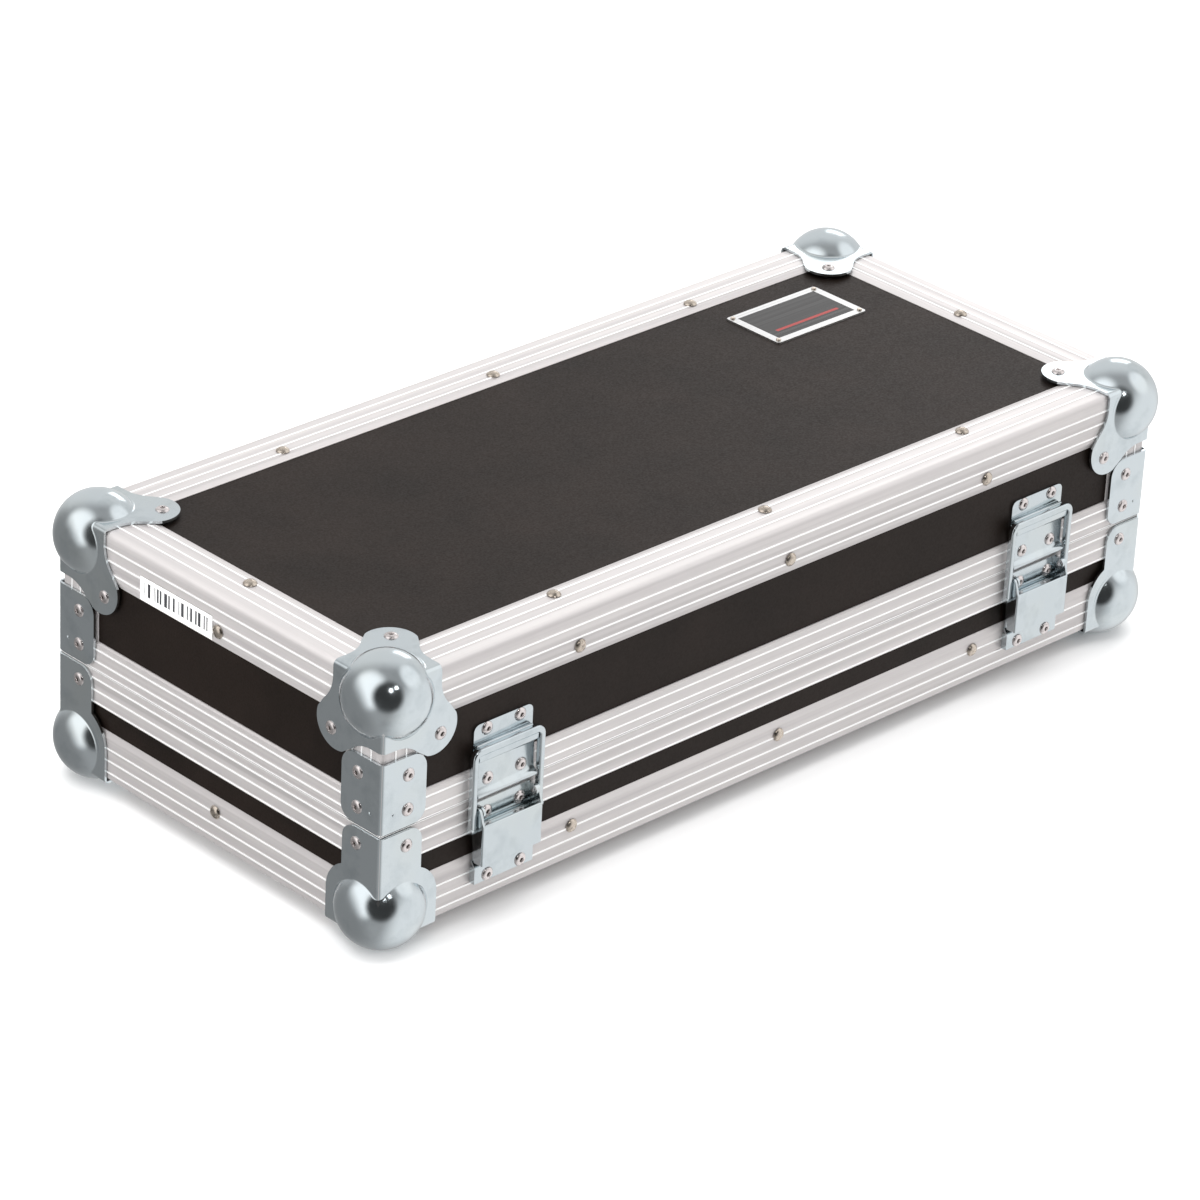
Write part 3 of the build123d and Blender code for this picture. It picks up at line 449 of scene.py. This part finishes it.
finish = {
    "alongX": extrudedAluminium("drawn_aluminium_lengthwise", "X"),
    "alongY": extrudedAluminium("drawn_aluminium_crosswise", "Y"),
    # A darker copy: painted shade for the lower crosswise pieces, which sit below the brighter lid
    # edges
    "alongYPaintedShade": extrudedAluminium("drawn_aluminium_crosswise_painted_shade", "Y", 0.92),
    "upright": extrudedAluminium("drawn_aluminium_upright", "Z"),
    "corner": zincPlate("zinc_corner_steel"),
    "latch": zincPlate("zinc_latch_steel", 0.96),
    "hinge": zincPlate("zinc_hinge_steel", 0.90),
    "laminate": laminateFilm("phenolic_film"),
    "solidRivet": nickel("solid_rivet_metal", rivetLook["solid"]),
    "blindRivet": nickel("blind_rivet_metal", rivetLook["blind"]),
    "stub": steelStub("rivet_mandrel_steel"),
    "foam": cutFoam("lining_foam"),
    "plate": printedPlate("printed_name_plate", middleOf("name_plate")),
    "label": barredPaper("barred_paper", middleOf("side_label")),
}
print("materials ready:", len(finish))


def dress(name, material):
    # Give a CAD node one of the finishes
    slots = nodes[name].data.materials
    slots.clear()
    slots.append(material)


for side in sideNames:
    for name in ("base_edge_", "lid_edge_", "base_closing_profile_", "lid_closing_profile_"):
        # The crosswise lid edges keep the brighter finish; the lower crosswise pieces get the
        # painted shade copy
        crosswise = "alongY" if name == "lid_edge_" else "alongYPaintedShade"
        dress(name + side, finish["alongX" if side in ("front", "back") else crosswise])
    dress(f"base_{side}_panel", finish["laminate"])
    dress(f"lid_{side}_panel", finish["laminate"])
dress("base_bottom_panel", finish["laminate"])
dress("lid_top_panel", finish["laminate"])
dress("lid_upright_angles", finish["upright"])
dress("lid_corner_braces", finish["corner"])
for corner in cornerNames:
    dress(f"base_ball_corner_{corner}", finish["corner"])
    dress(f"lid_ball_corner_{corner}", finish["corner"])
for name in ("base_blind_rivets", "lid_blind_rivets"):
    dress(name, finish["blindRivet"])
for name in ("base_edge_rivets", "lid_edge_rivets", "name_plate_rivets"):
    dress(name, finish["solidRivet"])
for name in ("hinge_base_leaves", "hinge_lid_leaves", "hinge_pins"):
    dress(name, finish["hinge"])
for hand in ("left", "right"):
    for name in ("latch_base_", "latch_strike_", "latch_lever_", "latch_loop_"):
        dress(name + hand, finish["latch"])
dress("latch_pivot_pins", finish["latch"])
dress("name_plate", finish["plate"])
dress("side_label", finish["label"])
print("CAD nodes dressed")


# Pieces: how each one is picked, joined and settled
def pick(*pieces):
    # Select just these, with the first one active
    bpy.ops.object.select_all(action="DESELECT")
    for piece in pieces:
        piece.select_set(True)
    bpy.context.view_layer.objects.active = pieces[0]


def joined(name, copies):
    pick(*copies)
    if len(copies) > 1:
        bpy.ops.object.join()
    piece = bpy.context.object
    piece.name = name
    return piece


def applyModifiers(piece):
    pick(piece)
    for name in [modifier.name for modifier in piece.modifiers]:
        bpy.ops.object.modifier_apply(modifier=name)


def settle(piece, material, body):
    # Apply the piece's place, and give it a finish and a body
    pick(piece)
    bpy.ops.object.transform_apply(location=True, rotation=True, scale=True)
    piece.data.materials.clear()
    piece.data.materials.append(material)
    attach(piece, body)


# Foam lining: soft blocks with rounded edges and a slightly uneven cut face
foam = {"shrink": 0.0004, "round": 0.0022, "roundSteps": 3, "sharp": 60, "smooth": 50,
        "uneven": 0.0007, "patch": 0.045, "padCuts": 30, "stripCuts": 20,
        "strip": 0.012, "cornerGap": 0.0004}


def foamBlock(name, low, high, cuts):
    size = [b - a - 2 * foam["shrink"] for a, b in zip(low, high)]
    middle = [(a + b) / 2 for a, b in zip(low, high)]
    bpy.ops.mesh.primitive_cube_add(size=1.0, location=middle, scale=size)
    block = bpy.context.object
    block.name = name
    bpy.ops.object.transform_apply(location=False, rotation=False, scale=True)
    bpy.ops.object.mode_set(mode="EDIT")
    bpy.ops.mesh.select_all(action="SELECT")
    bpy.ops.mesh.subdivide(number_cuts=cuts)
    bpy.ops.mesh.select_all(action="DESELECT")
    bpy.ops.mesh.edges_select_sharp(sharpness=radians(foam["sharp"]))
    bpy.ops.mesh.bevel(offset=foam["round"], segments=foam["roundSteps"])
    bpy.ops.object.mode_set(mode="OBJECT")
    return block


def foamPiece(name, blocks, body):
    # Join the blocks, make their faces uneven and replace the CAD foam
    piece = joined(name + "_lining", blocks)
    clouds = bpy.data.textures.new(name + "_cut", "CLOUDS")
    clouds.noise_scale = foam["patch"]
    bpy.ops.object.transform_apply(location=True, rotation=True, scale=True)
    uneven = piece.modifiers.new("uneven", "DISPLACE")
    uneven.texture = clouds
    uneven.texture_coords = "LOCAL"
    uneven.mid_level = 1.0
    uneven.strength = foam["uneven"]
    applyModifiers(piece)
    bpy.ops.object.shade_smooth_by_angle(angle=radians(foam["smooth"]))
    settle(piece, finish["foam"], body)
    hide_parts(name)


for body in ("base", "lid"):
    padLow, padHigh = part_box(f"{body}_foam_pad")
    foamPiece(f"{body}_foam_pad", [foamBlock("pad", padLow, padHigh, foam["padCuts"])], body)
    low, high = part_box(f"{body}_foam_strips")
    strips = []
    for near, far in ((low.y, low.y + foam["strip"]), (high.y - foam["strip"], high.y)):
        strips.append(foamBlock("strip", (low.x, near, low.z), (high.x, far, high.z),
                                foam["stripCuts"]))
    inner = foam["strip"] + foam["cornerGap"]
    for near, far in ((low.x, low.x + foam["strip"]), (high.x - foam["strip"], high.x)):
        strips.append(foamBlock("strip", (near, low.y + inner, low.z),
                                (far, high.y - inner, high.z), foam["stripCuts"]))
    foamPiece(f"{body}_foam_strips", strips, body)
print("foam lining made")


# Rivets: a profile of (radius, height) in millimetres, spun about the axis
rivet = {
    "solid": ((0, 2.1), (1.3, 1.98), (2.4, 1.6), (3.3, 1.0), (3.8, 0.5), (4.0, 0.16), (3.95, 0.0)),
    "blind": ((0, 0.62), (0.8, 0.58), (1.0, 0.30), (1.14, 0.26), (1.24, 1.30), (1.45, 1.54),
              (1.9, 1.58), (2.7, 1.36), (3.4, 0.94), (3.85, 0.48), (4.0, 0.20), (3.95, 0.0)),
    "shank": 1.96, "leastLength": 0.004, "steps": 20, "smooth": 42,
    "stub": 0.00115, "stubReach": 0.004,
}
# Small dimples pressed into the legs of the corner braces
dimple = {"profile": ((0, 0.62), (0.4, 0.56), (0.8, 0.34), (1.1, 0.10), (1.3, -0.2)),
          "fromArris": 0.0075, "level": 0.0878, "plate": 0.0015}
weld = {"profile": 0.000005, "cad": 0.000002}  # how near two points are the same


def drawnOut(name, points):
    # A single point, extruded from one place to the next and left in edit mode
    bpy.ops.object.select_all(action="DESELECT")
    bpy.ops.mesh.primitive_plane_add(size=0.01, calc_uvs=False, location=(0, 0, 0))
    piece = bpy.context.object
    piece.name = name
    bpy.ops.object.mode_set(mode="EDIT")
    bpy.ops.mesh.select_mode(type="VERT")
    bpy.ops.mesh.select_all(action="SELECT")
    bpy.ops.mesh.merge(type="CENTER")
    bpy.ops.transform.translate(value=points[0])
    for near, far in zip(points, points[1:]):
        step = Vector(far) - Vector(near)
        bpy.ops.mesh.extrude_vertices_move(TRANSFORM_OT_translate={"value": step})
    return piece


def spun(name, profile, shank=0.0):
    # Spin a profile about Z and close it below
    points = [(radius / 1000, 0.0, height / 1000) for radius, height in profile]
    if shank:
        radius = rivet["shank"] / 1000
        points += [(radius, 0.0, 0.0), (radius, 0.0, -shank), (0.0, 0.0, -shank)]
    piece = drawnOut(name, points)
    bpy.ops.mesh.select_all(action="SELECT")
    bpy.ops.mesh.spin(steps=rivet["steps"], angle=2 * pi, center=(0, 0, 0), axis=(0, 0, 1))
    bpy.ops.mesh.select_all(action="SELECT")
    bpy.ops.mesh.remove_doubles(threshold=weld["profile"])
    if not shank:
        bpy.ops.mesh.fill_holes(sides=0)
    bpy.ops.mesh.normals_make_consistent(inside=False)
    bpy.ops.object.mode_set(mode="OBJECT")
    bpy.ops.object.shade_smooth_by_angle(angle=radians(rivet["smooth"]))
    return piece


def seats(node):
    # The middle and the size of each loose solid of a CAD node
    work = bmesh.new()
    work.from_mesh(nodes[node].data)
    bmesh.ops.remove_doubles(work, verts=work.verts, dist=weld["cad"])
    unseen = set(work.verts)
    found = []
    for start in work.verts:
        if start not in unseen:
            continue
        unseen.discard(start)
        queue, island = [start], [start]
        while queue:
            for edge in queue.pop().link_edges:
                for other in edge.verts:
                    if other in unseen:
                        unseen.discard(other)
                        queue.append(other)
                        island.append(other)
        low = Vector(min(v.co[i] for v in island) for i in range(3))
        high = Vector(max(v.co[i] for v in island) for i in range(3))
        found.append(((low + high) / 2, high - low))
    work.free()
    return found


def faceOf(point):
    # The face of the case that a point lies nearest to
    gaps = {"front": point.y + case["halfWidth"], "back": case["halfWidth"] - point.y,
            "left": point.x + case["halfLength"], "right": case["halfLength"] - point.x,
            "top": case["top"] - point.z, "bottom": point.z - case["bottom"]}
    return min(gaps, key=gaps.get)


def placed(master, place, outward):
    # Copy of a master piece with its axis outward at a place
    copy = master.copy()
    copy.data = master.data.copy()
    scene.collection.objects.link(copy)
    turn = outward.to_track_quat("Z", "X").to_matrix().to_4x4()
    copy.matrix_world = Matrix.Translation(place) @ turn
    return copy


def darkenStubs(piece, centres):
    # Give the faces near each axis the mandrel steel
    piece.data.materials.append(finish["stub"])
    for polygon in piece.data.polygons:
        for centre, outward in centres:
            away = polygon.center - centre
            fromAxis = away - outward * away.dot(outward)
            if away.length < rivet["stubReach"] and fromAxis.length < rivet["stub"]:
                polygon.material_index = 1
                break


for body in ("base", "lid"):
    for kind, head in (("edge", "solid"), ("blind", "blind")):
        node = f"{body}_{kind}_rivets"
        rise = max(height for radius, height in rivet[head]) / 1000
        masters, copies, centres = {}, [], []
        for middle, size in seats(node):
            outward = outwards[faceOf(middle)]
            length = max(abs(size.dot(outward)), rivet["leastLength"])
            shank = round(length - rise, 5)
            if shank not in masters:
                masters[shank] = spun(f"{head}_master", rivet[head], shank)
            seat = middle + outward * (length / 2 - rise)
            copies.append(placed(masters[shank], seat, outward))
            centres.append((seat, outward))
        for master in masters.values():
            bpy.data.objects.remove(master)
        piece = joined(node + "_heads", copies)
        settle(piece, finish[head + "Rivet"], body)
        if kind == "blind":
            darkenStubs(piece, centres)
        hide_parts(node)

master = spun("dimple_master", dimple["profile"])
copies = []
for signX, endFace in ((-1, "left"), (1, "right")):
    for signY, longFace in ((-1, "front"), (1, "back")):
        arris = Vector((signX * case["halfLength"], signY * case["halfWidth"], dimple["level"]))
        for face, inward in ((longFace, Vector((-signX, 0, 0))), (endFace, Vector((0, -signY, 0)))):
            place = arris + inward * dimple["fromArris"] + outwards[face] * dimple["plate"]
            copies.append(placed(master, place, outwards[face]))
bpy.data.objects.remove(master)
dimples = joined("brace_dimples", copies)
settle(dimples, finish["corner"], "lid")
print("rivets and dimples made")


# Draw latches: bent strikes with a curled lip
latchCentres = {"left": -0.2135, "right": 0.207}
strikeSheet = {
    # Outer skin as (outward from the front, up from the seam) in millimetres, from the lip up
    "skin": ((2.9, 0.95), (3.9, 1.0), (4.5, 1.7), (4.35, 2.8), (3.5, 3.9), (2.3, 4.9), (1.45, 6.2),
             (1.2, 7.8), (1.2, 21.0), (4.4, 23.4), (4.4, 27.0), (-0.8, 27.0), (-0.8, 43.0)),
    "width": 0.0425, "wall": 0.0012, "corner": 0.004, "cornerSteps": 5,
    "bends": (0.00055, 12, 3), "burr": (0.00022, 55, 2), "smooth": 35,
}
# Rolled edges along the tops of the levers and behind the bars of the loops
rolledEdge = {
    # Outward from the front, up from the seam and length in millimetres
    "places": {"lever": (8.75, -14.25, 43.2), "loop": (0.30, 30.55, 40.4)},
    "radius": 0.00095, "steps": 24, "ends": (0.0005, 50, 3), "smooth": 40,
}


def softened(piece, name, width, angle, segments):
    bevel = piece.modifiers.new(name, "BEVEL")
    bevel.width, bevel.segments = width, segments
    bevel.limit_method, bevel.angle_limit = "ANGLE", radians(angle)


def bentSheet(name, sheetPlan, centre):
    # An edge extruded along the skin, then rounded at its bends and given its thickness
    width = sheetPlan["width"]
    skin = [(outward / 1000, up / 1000) for outward, up in sheetPlan["skin"]]
    bpy.ops.object.select_all(action="DESELECT")
    bpy.ops.mesh.primitive_plane_add(size=width, location=(0, 0, 0))
    sheet = bpy.context.object
    sheet.name = name
    bpy.ops.object.mode_set(mode="EDIT")
    bpy.ops.mesh.select_mode(type="VERT")
    work = bmesh.from_edit_mesh(sheet.data)
    for vert in work.verts:
        vert.select = vert.co.y > 0
    work.select_flush_mode()
    bmesh.update_edit_mesh(sheet.data)
    bpy.ops.mesh.delete(type="VERT")
    bpy.ops.mesh.select_all(action="SELECT")
    outward, up = skin[0]
    bpy.ops.transform.translate(
        value=(centre, width / 2 - case["halfWidth"] - outward, case["seam"] + up))
    for (near, low), (far, high) in zip(skin, skin[1:]):
        step = (0, near - far, high - low)
        bpy.ops.mesh.extrude_region_move(TRANSFORM_OT_translate={"value": step})
    bpy.ops.mesh.bevel(offset=sheetPlan["corner"], segments=sheetPlan["cornerSteps"],
                       affect="VERTICES")
    bpy.ops.object.mode_set(mode="OBJECT")
    tallest = max(sheet.data.polygons, key=lambda polygon: polygon.area)
    if tallest.normal.y > 0:
        sheet.data.flip_normals()
    softened(sheet, "bends", *sheetPlan["bends"])
    wall = sheet.modifiers.new("wall", "SOLIDIFY")
    wall.thickness, wall.offset = sheetPlan["wall"], -1.0
    softened(sheet, "burr", *sheetPlan["burr"])
    applyModifiers(sheet)
    bpy.ops.object.shade_smooth_by_angle(angle=radians(sheetPlan["smooth"]))
    return sheet


for hand, centre in latchCentres.items():
    strike = bentSheet(f"latch_strike_{hand}_sheet", strikeSheet, centre)
    settle(strike, finish["latch"], "lid")
    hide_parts(f"latch_strike_{hand}")
    for owner, (outward, up, length) in rolledEdge["places"].items():
        place = (centre, -case["halfWidth"] - outward / 1000, case["seam"] + up / 1000)
        bpy.ops.mesh.primitive_cylinder_add(
            vertices=rolledEdge["steps"], radius=rolledEdge["radius"], depth=length / 1000,
            rotation=(0, pi / 2, 0), location=place)
        roll = bpy.context.object
        roll.name = f"latch_{owner}_{hand}_bead"
        softened(roll, "ends", *rolledEdge["ends"])
        applyModifiers(roll)
        bpy.ops.object.shade_smooth_by_angle(angle=radians(rolledEdge["smooth"]))
        settle(roll, finish["latch"], f"{owner}_{hand}")
print("latches made")


# Stage
makeCamera()
for light in lights:
    makeLight(*light)
bpy.ops.mesh.primitive_plane_add(size=floorLook["size"], location=(0, 0, 0))
floor = bpy.context.object
floor.name = "studio_floor"
floorPaint, floorShader = newMaterial("studio_floor", floorLook["colour"], 0.0,
                                      floorLook["roughness"])
floorShader.inputs["Specular IOR Level"].default_value = floorLook["shine"]
floor.data.materials.append(floorPaint)
floor.visible_glossy = False
makeWorld()
print("stage set")
